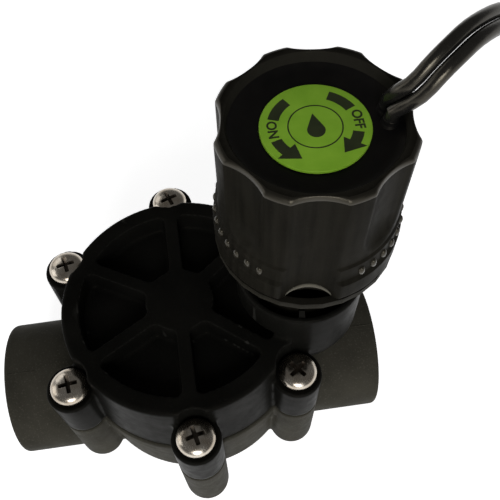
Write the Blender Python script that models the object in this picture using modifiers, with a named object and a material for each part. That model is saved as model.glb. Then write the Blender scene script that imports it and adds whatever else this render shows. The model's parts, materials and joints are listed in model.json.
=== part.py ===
"""Plastic in-line solenoid valve: a diaphragm valve body with two female ports, a ribbed six-screw
bonnet and a fluted twist-to-bleed solenoid with two loose leads.

Run with: blender --background --python part.py. Units are metres, +Z is up, flow runs along +X.
The origin is under the bonnet's axis, on the surface that the valve stands on.
"""
import math

import bmesh
import bpy
from mathutils import Matrix, Vector

MM = 0.001
GAP = 0.3 * MM                      # clearance between pieces that touch or screw together

# driving dimensions
LENGTH = 110 * MM                   # port face to port face
AXIS_Z = 21 * MM                    # height of the ports' axis
PORT_R = 20 * MM                    # outside of a port
SOCKET_R = 15.2 * MM                # minor radius of the G 1 female thread
SOCKET_DEPTH = 17.5 * MM
SHOULDER_X = LENGTH / 2 - SOCKET_DEPTH
ALONG_X = (0, math.pi / 2, 0)
BORE_R = 9.5 * MM                   # waterway behind the sockets
PARTING_Z = AXIS_Z + 22.3 * MM      # joint between the body and the bonnet
BODY_R = 32.9 * MM                  # body flange at the joint
LUG_R = 6.4 * MM                    # screw lugs of the body and the bonnet
LUG_END_Z = AXIS_Z - 2 * MM         # centre of a lug's round end
SHADOW = 0.25 * MM                  # the lugs stop this far short of the joint
SCREW_CIRCLE_R = 35.3 * MM
SCREW_ANGLES = (38.7, 90, 150, 210, 270, 321.3)
SCREW_R = 2.2 * MM
SCREW_HEAD_R = 4.95 * MM
SCREW_HEAD_H = 3.3 * MM
SCREW_SEAT_Z = AXIS_Z + 39 * MM
RING_TOP_Z = AXIS_Z + 46.2 * MM     # flat top of the bonnet's ring, ribs and hub
RING_R = 30.8 * MM
POCKET_R = 26.3 * MM
POCKET_DEPTH = 6 * MM
HUB_R = 8.9 * MM
RIB_W = 3.4 * MM
CHAMBER_R = 25.4 * MM               # pressure chamber over the diaphragm
CHAMBER_TOP_Z = AXIS_Z + 37.6 * MM
SEAT_TOP_Z = AXIS_Z + 17.5 * MM     # rim of the main seat
SEAT_WALL = 2.4 * MM
BEAD_OUTER_R = 30.6 * MM            # groove for the diaphragm's bead
BEAD_INNER_R = 27.6 * MM
BEAD_MID_R = (BEAD_OUTER_R + BEAD_INNER_R) / 2
DRAIN_R = 1.1 * MM                  # pilot drain, through the bead down to the outlet
PILOT_R = 0.8 * MM
SOL_X = 31.5 * MM                   # solenoid's axis, on the outlet side
CUP_R = 16.2 * MM                   # bonnet's cup that the solenoid screws into
CUP_WALL = 1.5 * MM
CUP_TOP_Z = AXIS_Z + 56.5 * MM
CUP_FLOOR_Z = AXIS_Z + 46.5 * MM
STEM_R = 9.2 * MM
STEM_END_Z = AXIS_Z + 38.5 * MM
SHELL_R = 19.2 * MM                 # solenoid shell over its lobes
SHELL_TOP_Z = AXIS_Z + 109.2 * MM
SHELL_END_Z = AXIS_Z + 74.6 * MM
SHELL_BORE_R = 16.3 * MM
BAND_R = 19.7 * MM                  # band between the flutes and the skirt
BAND_TOP_Z = AXIS_Z + 86.2 * MM
BAND_END_Z = AXIS_Z + 80.4 * MM
SKIRT_R = 20.4 * MM
BASE_TOP_Z = AXIS_Z + 77.2 * MM     # solenoid's base, inside the shell
BASE_FLANGE_Z = AXIS_Z + 72 * MM    # underside of the base's flange
NECK_R = 12.2 * MM
TUBE_R = 5.3 * MM                   # core tube
YOKE_R = 15.9 * MM
YOKE_WALL = 1.5 * MM
YOKE_HOLE_R = 5.8 * MM
BOBBIN_R = 14 * MM
SPOOL_R = 6.8 * MM
FLUTES = 8
FLUTE_TURN = math.radians(-8.7)     # the screwed-in solenoid's rest angle
FLUTE_DEPTH = 1.7 * MM
FLUTE_HALF_ANGLE = math.radians(15)
CAP_TOP_Z = AXIS_Z + 106 * MM       # floor of the recess in the solenoid's top
LABEL_R = 10.4 * MM
PLUNGER_R = 4.0 * MM
PLUNGER_TOP_Z = AXIS_Z + 80 * MM
CORE_END_Z = AXIS_Z + 88.6 * MM     # lower end of the fixed core
BUSH_R = 1.5 * MM                   # resin raised round each lead
LEAD_R = 1.4 * MM
LEAD_BASE_Z = CAP_TOP_Z + 1.5 * MM
COIL_CENTRE = (152 * MM, 36 * MM)   # the leads' spare length, coiled beside the valve
COIL_MID_R = 16 * MM
COIL_H = 8.4 * MM
COIL_W = 7.2 * MM

COLOURS = {
    "body_nylon": ((0.022, 0.021, 0.018), 0.55, 0.0),
    "bonnet_nylon": ((0.014, 0.014, 0.013), 0.42, 0.0),
    "solenoid_nylon": ((0.018, 0.016, 0.014), 0.4, 0.0),
    "potting_resin": ((0.008, 0.008, 0.009), 0.35, 0.0),
    "stainless_steel": ((0.62, 0.58, 0.52), 0.22, 1.0),
    "plated_steel": ((0.5, 0.5, 0.5), 0.35, 1.0),
    "copper_wire": ((0.55, 0.22, 0.1), 0.35, 1.0),
    "brass": ((0.7, 0.52, 0.22), 0.3, 1.0),
    "rubber": ((0.02, 0.02, 0.02), 0.8, 0.0),
    "label_green": ((0.24, 0.55, 0.05), 0.4, 0.0),
    "pvc_black": ((0.006, 0.006, 0.006), 0.15, 0.0),
    "bobbin_nylon": ((0.6, 0.58, 0.5), 0.5, 0.0),
}

for old in list(bpy.data.objects):
    bpy.data.objects.remove(old, do_unlink=True)

VALVE = bpy.data.collections.new("solenoid_valve")
CUTTERS = bpy.data.collections.new("cutters")
bpy.context.scene.collection.children.link(VALVE)
bpy.context.scene.collection.children.link(CUTTERS)


def make_material(name):
    colour, roughness, metallic = COLOURS[name]
    material = bpy.data.materials.new(name)
    material.use_nodes = True
    shader = material.node_tree.nodes["Principled BSDF"]
    shader.inputs["Base Color"].default_value = (*colour, 1)
    shader.inputs["Roughness"].default_value = roughness
    shader.inputs["Metallic"].default_value = metallic
    return material


MATERIALS = {name: make_material(name) for name in COLOURS}


def add(name, mesh, material=None, place=(0, 0, 0), turn=(0, 0, 0)):
    """Put a mesh into the valve, or among the cutters when it has no material."""
    thing = bpy.data.objects.new(name, mesh)
    thing.location = place
    thing.rotation_euler = turn
    if material:
        mesh.materials.append(MATERIALS[material])
        VALVE.objects.link(thing)
    else:
        thing.hide_render = True
        thing.display_type = "WIRE"
        CUTTERS.objects.link(thing)
    return thing


def turned(name, profile, material=None, place=(0, 0, 0), turn=(0, 0, 0), steps=32, ring=False):
    """Turn an (r, z) profile about Z. It runs down the outside; a ring's profile is a closed loop."""
    mesh = bpy.data.meshes.new(name)
    # tools start off the XZ plane, so that their seams never line up with a seam of the piece
    seam = 0 if material else 0.067 + 0.011 * (len(name) % 5)
    points = [(r * math.cos(seam), r * math.sin(seam), z) for r, z in profile]
    edges = [(i, i + 1) for i in range(len(points) - 1)]
    if ring:
        edges.append((len(points) - 1, 0))
    mesh.from_pydata(points, edges, [])
    thing = add(name, mesh, material, place, turn)
    screw = thing.modifiers.new("turn", "SCREW")
    screw.steps = screw.render_steps = steps
    screw.use_merge_vertices = True
    screw.merge_threshold = 0.00001
    screw.use_smooth_shade = True
    return thing


def rod(name, radius, low, high, material=None, at=(0, 0), steps=24):
    """Plain vertical cylinder."""
    return turned(name, [(0, high), (radius, high), (radius, low), (0, low)], material, (*at, 0),
                  steps=steps)


def tube_ring(name, outer, inner, low, high, material=None, at=(0, 0), steps=24):
    """Plain vertical ring."""
    loop = [(outer, high), (outer, low), (inner, low), (inner, high)]
    return turned(name, loop, material, (*at, 0), steps=steps, ring=True)


def box(name, size, place, turn=(0, 0, 0)):
    """Block for joining or cutting."""
    mesh = bpy.data.meshes.new(name)
    bm = bmesh.new()
    bmesh.ops.create_cube(bm, size=1)
    bmesh.ops.scale(bm, vec=size, verts=bm.verts)
    bm.to_mesh(mesh)
    bm.free()
    return add(name, mesh, None, place, turn)


def combine(target, operation, other, solver="EXACT"):
    """Add a Boolean modifier."""
    boolean = target.modifiers.new(operation.lower(), "BOOLEAN")
    boolean.operation = operation
    boolean.solver = solver
    boolean.object = other


def cut(target, other, solver="EXACT"):
    combine(target, "DIFFERENCE", other, solver)


def join(target, other):
    combine(target, "UNION", other)


def arc(centre, radius, start, end, count):
    """Points (r, z) of an arc about centre, from start to end degrees."""
    step = (end - start) / (count - 1)
    angles = [math.radians(start + step * i) for i in range(count)]
    return [(centre[0] + radius * math.cos(a), centre[1] + radius * math.sin(a)) for a in angles]


def polar(radius, degrees):
    angle = math.radians(degrees)
    return (radius * math.cos(angle), radius * math.sin(angle))


def prism(name, outline, low, high, material=None):
    """Upright prism on a flat outline."""
    curve = bpy.data.curves.new(name, "CURVE")
    curve.dimensions = "2D"
    curve.fill_mode = "BOTH"
    curve.extrude = (high - low) / 2
    spline = curve.splines.new("POLY")
    spline.points.add(len(outline) - 1)
    for point, (x, y) in zip(spline.points, outline):
        point.co = (x, y, 0, 1)
    spline.use_cyclic_u = True
    return add_curve(name, curve, material, (0, 0, (low + high) / 2))


def add_curve(name, curve, material=None, place=(0, 0, 0), turn=(0, 0, 0)):
    """Turn a curve into a welded mesh object."""
    guide = bpy.data.objects.new(name + "_guide", curve)
    bpy.context.scene.collection.objects.link(guide)
    bpy.context.view_layer.update()
    graph = bpy.context.evaluated_depsgraph_get()
    mesh = bpy.data.meshes.new_from_object(guide.evaluated_get(graph))
    mesh.name = name
    bm = bmesh.new()
    bm.from_mesh(mesh)
    bmesh.ops.remove_doubles(bm, verts=bm.verts, dist=0.000001)
    bmesh.ops.recalc_face_normals(bm, faces=bm.faces)
    bm.to_mesh(mesh)
    bm.free()
    bpy.data.objects.remove(guide, do_unlink=True)
    mesh.materials.clear()
    return add(name, mesh, material, place, turn)


def wire(name, points, radius, material, place=(0, 0, 0), resolution=2):
    """Round wire or tube along the points."""
    curve = bpy.data.curves.new(name, "CURVE")
    curve.dimensions = "3D"
    curve.bevel_depth = radius
    curve.bevel_resolution = resolution
    curve.use_fill_caps = True
    spline = curve.splines.new("POLY")
    spline.points.add(len(points) - 1)
    for point, place_at in zip(spline.points, points):
        point.co = (*place_at, 1)
    thing = add_curve(name, curve, material, place)
    thing.data.shade_smooth()
    thing.data.set_sharp_from_angle(angle=math.radians(50))
    return thing


def spring(name, radius, thickness, low, high, turns, material, at=(0, 0)):
    """Compression spring with closed end turns."""
    per_turn = 9
    count = int(per_turn * turns)
    closed = 0.5
    points = []
    for i in range(count + 1):
        done = i / per_turn
        free = min(max((done - closed) / (turns - 2 * closed), 0), 1)
        rise = low + thickness + (high - low - 2 * thickness) * free
        angle = math.tau * done
        points.append((radius * math.cos(angle), radius * math.sin(angle), rise))
    return wire(name, points, thickness, material, (*at, 0), 1)


def smooth_route(stops, step):
    """Evenly spaced points on a Catmull-Rom curve through the stops."""
    stops = [Vector(stop) for stop in stops]
    padded = [2 * stops[0] - stops[1], *stops, 2 * stops[-1] - stops[-2]]
    fine = []
    for a, b, c, d in zip(padded, padded[1:], padded[2:], padded[3:]):
        for i in range(24):
            t = i / 24
            fine.append(0.5 * (2 * b + (c - a) * t + (2 * a - 5 * b + 4 * c - d) * t * t
                               + (3 * b - a - 3 * c + d) * t * t * t))
    fine.append(stops[-1])
    total = sum((b - a).length for a, b in zip(fine, fine[1:]))
    count = round(total / step)
    points, walked = [fine[0]], 0
    for a, b in zip(fine, fine[1:]):
        walked += (b - a).length
        if walked >= total * len(points) / count and len(points) < count:
            points.append(b)
    points.append(fine[-1])
    return points


def screw_places():
    return [polar(SCREW_CIRCLE_R, degrees) for degrees in SCREW_ANGLES]


def build_body():
    """Bowl, lugs, foot and the roots of the ports, with the inlet chamber, seat and outlet bore."""
    base = AXIS_Z
    foot_r = 15 * MM
    profile = [(0, PARTING_Z), (BODY_R, PARTING_Z), (BODY_R, base + 16.6 * MM),
               (31.9 * MM, base + 15.8 * MM), (31.2 * MM, base + 4 * MM),
               *arc((20.6 * MM, base - 1 * MM), 10.2 * MM, 0, -70, 5),
               (foot_r, base - 15 * MM), (foot_r, 0), (0, 0)]
    body = turned("valve_body", profile, "body_nylon", steps=36)
    pipe = [(0, SHOULDER_X), (PORT_R, SHOULDER_X), (PORT_R, -SHOULDER_X), (0, -SHOULDER_X)]
    join(body, turned("pipe_blank", pipe, None, (0, 0, AXIS_Z), ALONG_X, 28))
    for i, (x, y) in enumerate(screw_places()):
        lug = [(0, PARTING_Z - SHADOW), (LUG_R, PARTING_Z - SHADOW),
               *arc((0, LUG_END_Z), LUG_R, 0, -90, 3)]
        join(body, turned(f"body_lug_{i}", lug, None, (x, y, 0), steps=12))
    # gusset that carries the bonnet's cup down to the outlet port
    web = box("lug_web", (9 * MM, 30 * MM, 14 * MM), (28.5 * MM, 0, PARTING_Z - 7 * MM))
    join(body, web)

    floor = AXIS_Z + BORE_R + 2.6 * MM
    seat_r = BORE_R + SEAT_WALL
    outlet_low = AXIS_Z - 4 * MM
    chamber = [(0, PARTING_Z + MM), (26.6 * MM, PARTING_Z + MM), (26.6 * MM, floor + 1.5 * MM),
               (25.1 * MM, floor), (seat_r, floor), (seat_r, SEAT_TOP_Z), (BORE_R, SEAT_TOP_Z),
               (BORE_R, outlet_low), (0, outlet_low)]
    cut(body, turned("inlet_chamber", chamber, steps=24))
    riser = rod("inlet_riser", 5.4 * MM, AXIS_Z, floor + 2 * MM, at=(-20.3 * MM, 0), steps=14)
    cut(body, riser)
    for side, inner_end in ((-1, 16.5 * MM), (1, -2 * MM)):
        waterway = [(0, SHOULDER_X + MM), (BORE_R - 0.2 * MM, SHOULDER_X + MM),
                    (BORE_R - 0.2 * MM, inner_end), (0, inner_end)]
        turn = (0, side * math.pi / 2, 0)
        cut(body, turned(f"waterway_{side}", waterway, None, (0, 0, AXIS_Z), turn, 20))
    groove = tube_ring("bead_groove", BEAD_OUTER_R, BEAD_INNER_R, PARTING_Z - 2.6 * MM,
                       PARTING_Z + MM, steps=24)
    cut(body, groove)
    rim_rest = rod("diaphragm_rest", 27.8 * MM, PARTING_Z - 1.6 * MM, PARTING_Z + MM, steps=24)
    cut(body, rim_rest)
    for i, (x, y) in enumerate(screw_places()):
        cut(body, rod(f"body_hole_{i}", SCREW_R + GAP, LUG_END_Z - MM, PARTING_Z + MM, at=(x, y),
                      steps=8))
    cut(body, rod("drain_hole", DRAIN_R, AXIS_Z, PARTING_Z + MM, at=(BEAD_MID_R, 0), steps=8))


def build_ports():
    """Threaded end of each port, which meets the body at the socket's shoulder."""
    half = LENGTH / 2
    edge = 1.2 * MM
    chamfer = 1.6 * MM
    start = SHOULDER_X + GAP
    loop = [(SOCKET_R + chamfer, half), (PORT_R - edge, half),
            (PORT_R - 0.35 * edge, half - 0.35 * edge), (PORT_R, half - edge), (PORT_R, start),
            (SOCKET_R, start), (SOCKET_R, half - chamfer)]
    for name, side in (("inlet_port", -1), ("outlet_port", 1)):
        turned(name, loop, "body_nylon", (0, 0, AXIS_Z), (0, side * math.pi / 2, 0), 28, ring=True)


def rounded(outline, radius):
    """The outline with its sharp corners replaced by short arcs."""
    result = []
    for i, corner in enumerate(outline):
        here = Vector(corner)
        before = (Vector(outline[i - 1]) - here).normalized()
        after = (Vector(outline[(i + 1) % len(outline)]) - here).normalized()
        opening = before.angle(after)
        if opening > math.radians(130):
            result.append(corner)
            continue
        reach = radius / math.tan(opening / 2)
        start, end = here + before * reach, here + after * reach
        middle = here + (before + after).normalized() * (radius / math.sin(opening / 2) - radius)
        result += [tuple(start), tuple(middle), tuple(end)]
    return result


def pocket_outline(start, end):
    """Outline of one pocket of the bonnet between two ribs at start and end degrees."""
    half = RIB_W / 2
    outline = []
    for radius, flip in ((POCKET_R, False), (HUB_R, True)):
        inset = math.degrees(math.asin(half / radius))
        low, high = start + inset, end - inset
        count = max(1, round(math.radians(high - low) * radius / (6 * MM)))
        angles = [low + (high - low) * i / count for i in range(count + 1)]
        outline += [polar(radius, a) for a in (reversed(angles) if flip else angles)]
    return rounded(outline, 1.3 * MM)


def build_bonnet():
    """Ribbed cover with six lugs and the cup that takes the solenoid's stem."""
    low = PARTING_Z + GAP
    profile = [(0, RING_TOP_Z), (RING_R - 0.7 * MM, RING_TOP_Z), (RING_R, RING_TOP_Z - 0.7 * MM),
               (31.4 * MM, RING_TOP_Z - 10 * MM), (32.3 * MM, low + 1.2 * MM), (32.3 * MM, low),
               (0, low)]
    bonnet = turned("bonnet", profile, "bonnet_nylon", steps=40)
    for i, (x, y) in enumerate(screw_places()):
        top = SCREW_SEAT_Z + 0.4 * MM
        lug = [(0, top), (LUG_R - 0.3 * MM, top), (LUG_R, top - 0.3 * MM),
               (LUG_R, low + SHADOW), (0, low + SHADOW)]
        join(bonnet, turned(f"bonnet_lug_{i}", lug, None, (x, y, 0), steps=12))
    angles = [*SCREW_ANGLES, SCREW_ANGLES[0] + 360]
    for i, (start, end) in enumerate(zip(angles, angles[1:])):
        pocket = prism(f"pocket_{i}", pocket_outline(start, end), RING_TOP_Z - POCKET_DEPTH,
                       RING_TOP_Z + MM)
        cut(bonnet, pocket)
    cup = [(0, CUP_TOP_Z), (CUP_R - 0.3 * MM, CUP_TOP_Z), (CUP_R, CUP_TOP_Z - 0.4 * MM),
           (CUP_R, AXIS_Z + 36 * MM), (14.2 * MM, AXIS_Z + 29 * MM), (9 * MM, AXIS_Z + 23.5 * MM),
           (0, AXIS_Z + 23.5 * MM)]
    join(bonnet, turned("cup_blank", cup, None, (SOL_X, 0, 0), steps=28))
    chamber = [(0, CHAMBER_TOP_Z), (CHAMBER_R - 2 * MM, CHAMBER_TOP_Z),
               (CHAMBER_R, CHAMBER_TOP_Z - 2 * MM), (CHAMBER_R, low - MM), (0, low - MM)]
    pressure_chamber = turned("pressure_chamber", chamber, steps=24)
    # the solenoid's thread pocket hangs into the chamber as a solid column
    cut(pressure_chamber, rod("stem_column", 12 * MM, AXIS_Z, AXIS_Z + 60 * MM, at=(SOL_X, 0)))
    cut(bonnet, pressure_chamber)
    cut(bonnet, tube_ring("bonnet_groove", BEAD_OUTER_R, BEAD_INNER_R, low - MM, low + 1.1 * MM,
                          steps=24))
    inner = CUP_R - CUP_WALL
    well = [(0, CUP_TOP_Z + MM), (inner, CUP_TOP_Z + MM), (inner, CUP_FLOOR_Z),
            (STEM_R + GAP, CUP_FLOOR_Z), (STEM_R + GAP, STEM_END_Z - 1.5 * MM),
            (5 * MM, STEM_END_Z - 4 * MM), (0, STEM_END_Z - 4 * MM)]
    cut(bonnet, turned("stem_well", well, None, (SOL_X, 0, 0), steps=20))
    # rib on the cup's inner wall, which marks the closed position
    rib_angle = math.degrees(FLUTE_TURN) - 90
    rib_mid = CUP_R - CUP_WALL / 2 - 0.7 * MM
    x, y = polar(rib_mid, rib_angle)
    rib = box("cup_rib", (2.9 * MM, 1.3 * MM, 9.4 * MM), (SOL_X + x, y, CUP_TOP_Z - 5.3 * MM),
              (0, 0, math.radians(rib_angle)))
    join(bonnet, rib)
    head_r = SCREW_HEAD_R + 0.6 * MM
    shank_r = SCREW_R + 0.4 * MM
    for i, (x, y) in enumerate(screw_places()):
        room = [(0, RING_TOP_Z + MM), (head_r, RING_TOP_Z + MM), (head_r, SCREW_SEAT_Z),
                (shank_r, SCREW_SEAT_Z), (shank_r, low - MM), (0, low - MM)]
        cut(bonnet, turned(f"screw_room_{i}", room, None, (x, y, 0), steps=12), "MANIFOLD")
    # pilot passage from the pressure chamber to the pilot seat
    pilot_z = STEM_END_Z - 3 * MM
    feed = [(0, SOL_X - 3 * MM), (PILOT_R, SOL_X - 3 * MM), (PILOT_R, 17 * MM), (0, 17 * MM)]
    cut(bonnet, turned("pilot_feed", feed, None, (0, 0, pilot_z), ALONG_X, 8), "MANIFOLD")


def build_screws():
    """Six pan-head cross-recessed cover screws."""
    seat = SCREW_SEAT_Z + GAP
    top = seat + SCREW_HEAD_H
    dome_low = seat + 0.9 * MM
    dome = [(SCREW_HEAD_R * math.sin(t) ** 0.8, dome_low + (top - dome_low) * math.cos(t) ** 0.62)
            for t in [math.pi / 2 * i / 4 for i in range(1, 4)]]
    profile = [(0, top), *dome, (SCREW_HEAD_R, dome_low), (SCREW_HEAD_R - 0.2 * MM, seat),
               (SCREW_R, seat), (SCREW_R, LUG_END_Z + 2 * MM), (0, LUG_END_Z)]
    for i, (x, y) in enumerate(screw_places()):
        screw = turned(f"cover_screw_{i + 1}", profile, "stainless_steel", (x, y, 0), steps=14)
        for k in range(2):
            turn = math.radians(i * 37 + 90 * k)
            slot = box(f"recess_{i}_{k}", (4.9 * MM, 1.05 * MM, 3.6 * MM), (x, y, top), (0, 0, turn))
            cut(screw, slot)


def build_diaphragm():
    """Clamped membrane with its lifting centre stack and closing spring."""
    mid = SEAT_TOP_Z + 2.6 * MM
    low = PARTING_Z - 2.3 * MM
    top = PARTING_Z + GAP + 0.8 * MM
    hole = 2.6 * MM
    membrane = [(hole, mid + 1.8 * MM), (15 * MM, mid + 1.8 * MM), (18 * MM, mid + 1.0 * MM),
                (21.5 * MM, mid + 0.9 * MM), (24.6 * MM, PARTING_Z),
                (27.9 * MM, PARTING_Z), (27.9 * MM, top), (30.3 * MM, top), (30.3 * MM, low),
                (27.9 * MM, low), (27.9 * MM, PARTING_Z - 1.3 * MM), (26 * MM, PARTING_Z - 1.3 * MM),
                (21.5 * MM, mid - 0.7 * MM),
                (18 * MM, mid - 0.6 * MM), (15 * MM, mid), (hole, mid)]
    diaphragm = turned("diaphragm", membrane, "rubber", steps=24, ring=True)
    cut(diaphragm, rod("bead_hole", DRAIN_R, low - MM, top + MM, at=(BEAD_MID_R, 0), steps=8))
    tube_ring("seat_washer", 13.2 * MM, hole, SEAT_TOP_Z + GAP, mid - GAP, "rubber")
    guide_top = SEAT_TOP_Z
    plate = [(0, guide_top), (8.6 * MM, guide_top), (8.6 * MM, guide_top - 2.2 * MM),
             (3.4 * MM, guide_top - 2.2 * MM), (3.4 * MM, guide_top - 9 * MM), (0, guide_top - 9 * MM)]
    retainer = turned("washer_retainer", plate, "bobbin_nylon", steps=24)
    for k in range(2):
        fin = box(f"guide_fin_{k}", (17.8 * MM, 1.6 * MM, (9 + 0.4 * k) * MM),
                  (0, 0, guide_top - 6.5 * MM), (0, 0, math.pi / 4 + k * math.pi / 2))
        join(retainer, fin)
    cut(retainer, rod("retainer_hole", 1.7 * MM + GAP, guide_top - 7.3 * MM, guide_top + MM, steps=12),
        "MANIFOLD")
    disc_low = mid + 1.8 * MM + GAP
    turned("diaphragm_disc", [
        (13.4 * MM, disc_low + 2 * MM), (13.4 * MM, disc_low), (hole - 0.6 * MM, disc_low),
        (hole - 0.6 * MM, disc_low + 2 * MM), (6.4 * MM, disc_low + 2 * MM),
        (6.4 * MM, disc_low + 3.4 * MM), (7.9 * MM, disc_low + 3.4 * MM), (7.9 * MM, disc_low + 2 * MM),
    ], "bobbin_nylon", steps=24, ring=True)
    head_low = disc_low + 2 * MM + GAP
    turned("retainer_screw", [(0, head_low + 2 * MM), (2.6 * MM, head_low + 2 * MM),
                              (3.4 * MM, head_low + 1.2 * MM), (3.4 * MM, head_low),
                              (1.6 * MM, head_low), (1.6 * MM, guide_top - 6.5 * MM),
                              (0, guide_top - 6.5 * MM)], "stainless_steel", steps=20)
    spring("diaphragm_spring", 10.2 * MM, 0.6 * MM, head_low, CHAMBER_TOP_Z - GAP, 4.5,
           "stainless_steel")


def flute_cutter(name, angle, low):
    """Round cutter whose lower end runs out of the shell's side."""
    edge = polar(SHELL_R, math.degrees(FLUTE_HALF_ANGLE))
    deep = SHELL_R - FLUTE_DEPTH
    centre = (edge[0] ** 2 + edge[1] ** 2 - deep ** 2) / (2 * (edge[0] - deep))
    radius = centre - deep
    reach = 6 * MM
    run_out = [(radius - 2.2 * MM * (1 - math.cos(t)), low + reach * (1 - math.sin(t)))
               for t in [math.pi / 2 * i / 3 for i in range(4)]]
    profile = [(0, SHELL_TOP_Z + 2 * MM), (radius, SHELL_TOP_Z + 2 * MM), *run_out, (0, low)]
    x, y = centre * math.cos(angle), centre * math.sin(angle)
    return turned(name, profile, None, (SOL_X + x, y, 0), steps=36)


def build_solenoid():
    """Twist-to-bleed solenoid. Its pieces share a parent on the axis that it turns about."""
    axis = bpy.data.objects.new("solenoid_axis", None)
    axis.location = (SOL_X, 0, 0)
    VALVE.objects.link(axis)
    at = (SOL_X, 0)
    bead = 1.5 * MM
    z = SHELL_TOP_Z
    profile = [*arc((SHELL_R - bead, z - bead), bead, 90, 0, 5), (SHELL_R, BAND_TOP_Z),
               (BAND_R, BAND_TOP_Z - 0.6 * MM), (BAND_R, BAND_END_Z + 0.8 * MM),
               (SKIRT_R, BAND_END_Z), (SKIRT_R, SHELL_END_Z + 0.8 * MM),
               (SKIRT_R - 0.8 * MM, SHELL_END_Z), (SHELL_BORE_R, SHELL_END_Z),
               (SHELL_BORE_R, z - 0.6 * MM), (SHELL_BORE_R + 0.5 * MM, z)]
    shell = turned("solenoid_shell", profile, "solenoid_nylon", (SOL_X, 0, 0), steps=40, ring=True)
    front = FLUTES - 2
    for i in range(FLUTES):
        angle = FLUTE_TURN + math.tau * i / FLUTES
        low = SHELL_END_Z - 4 * MM if i == front else BAND_TOP_Z + 1.3 * MM
        cut(shell, flute_cutter(f"flute_{i}", angle, low))
    # arched notch in the skirt at the foot of the front flute
    angle = FLUTE_TURN + math.tau * front / FLUTES
    notch_r = 5.2 * MM
    centre = (SOL_X + SKIRT_R * math.cos(angle), SKIRT_R * math.sin(angle), SHELL_END_Z - 1.2 * MM)
    notch = turned("skirt_notch", [(0, 2.5 * MM), (notch_r, 2.5 * MM), (notch_r, -2.2 * MM),
                                   (0, -2.2 * MM)], None, centre, steps=28)
    notch.rotation_mode = "QUATERNION"
    outward = Vector((math.cos(angle), math.sin(angle), 0))
    notch.rotation_quaternion = outward.to_track_quat("Z", "Y")
    cut(shell, notch)

    rod("solenoid_cap", SHELL_BORE_R - GAP, AXIS_Z + 103.4 * MM, CAP_TOP_Z, "potting_resin", at, 40)
    label_low = CAP_TOP_Z + GAP
    turned("dial_label", [(0, label_low + 0.6 * MM), (LABEL_R - 0.2 * MM, label_low + 0.6 * MM),
                          (LABEL_R, label_low + 0.4 * MM), (LABEL_R, label_low), (0, label_low)],
           "label_green", (SOL_X, 0, 0), steps=32)
    for name, (x, y, _) in zip("ab", lead_bases()):
        rod(f"lead_bush_{name}", BUSH_R, label_low, LEAD_BASE_Z - GAP, "potting_resin", (x, y), 16)

    yoke_low, yoke_high = AXIS_Z + 77.6 * MM, AXIS_Z + 103 * MM
    inside, roof = YOKE_R - YOKE_WALL, yoke_high - YOKE_WALL
    turned("magnet_yoke", [(YOKE_R, yoke_high), (YOKE_R, yoke_low), (inside, yoke_low), (inside, roof),
                           (YOKE_HOLE_R, roof), (YOKE_HOLE_R, yoke_high)],
           "plated_steel", (SOL_X, 0, 0), steps=24, ring=True)
    bobbin_low, bobbin_high = AXIS_Z + 78 * MM, roof - GAP
    flange = 1.2 * MM
    turned("coil_bobbin", [
        (BOBBIN_R, bobbin_high), (BOBBIN_R, bobbin_high - flange), (SPOOL_R, bobbin_high - flange),
        (SPOOL_R, bobbin_low + flange), (BOBBIN_R, bobbin_low + flange), (BOBBIN_R, bobbin_low),
        (YOKE_HOLE_R, bobbin_low), (YOKE_HOLE_R, bobbin_high)], "bobbin_nylon", (SOL_X, 0, 0),
        steps=20, ring=True)
    tube_ring("coil_winding", BOBBIN_R - 0.6 * MM, SPOOL_R + GAP, bobbin_low + flange + GAP,
              bobbin_high - flange - GAP, "copper_wire", at, 24)

    tube_low, tube_high = AXIS_Z + 44 * MM, AXIS_Z + 102.6 * MM
    tube_bore_r = PLUNGER_R + 0.6 * MM
    turned("core_tube", [(0, tube_high), (TUBE_R, tube_high), (TUBE_R, tube_low),
                         (tube_bore_r, tube_low), (tube_bore_r, tube_high - MM),
                         (0, tube_high - MM)], "stainless_steel", (SOL_X, 0, 0), steps=24)
    rod("fixed_core", tube_bore_r - GAP, CORE_END_Z, tube_high - MM - GAP, "plated_steel", at, 24)

    flange_high = SHELL_END_Z - GAP
    neck_low = CUP_FLOOR_Z + 1.7 * MM
    base = [(SHELL_BORE_R - GAP, BASE_TOP_Z), (SHELL_BORE_R - GAP, flange_high),
            (SKIRT_R, flange_high), (SKIRT_R, BASE_FLANGE_Z + 0.4 * MM),
            (SKIRT_R - 0.6 * MM, BASE_FLANGE_Z), (NECK_R + 1.2 * MM, BASE_FLANGE_Z),
            (NECK_R, BASE_FLANGE_Z - 2 * MM), (NECK_R, neck_low), (STEM_R, neck_low),
            (STEM_R, STEM_END_Z + 0.8 * MM), (STEM_R - 0.8 * MM, STEM_END_Z),
            (TUBE_R + GAP, STEM_END_Z), (TUBE_R + GAP, BASE_TOP_Z)]
    turned("solenoid_base", base, "solenoid_nylon", (SOL_X, 0, 0), steps=28, ring=True)
    ring_mid = (CUP_FLOOR_Z + neck_low) / 2
    loop = arc((STEM_R + 1.4 * MM, ring_mid), 0.55 * MM, 90, -210, 6)
    turned("stem_o_ring", loop, "rubber", (SOL_X, 0, 0), steps=20, ring=True)

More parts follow.
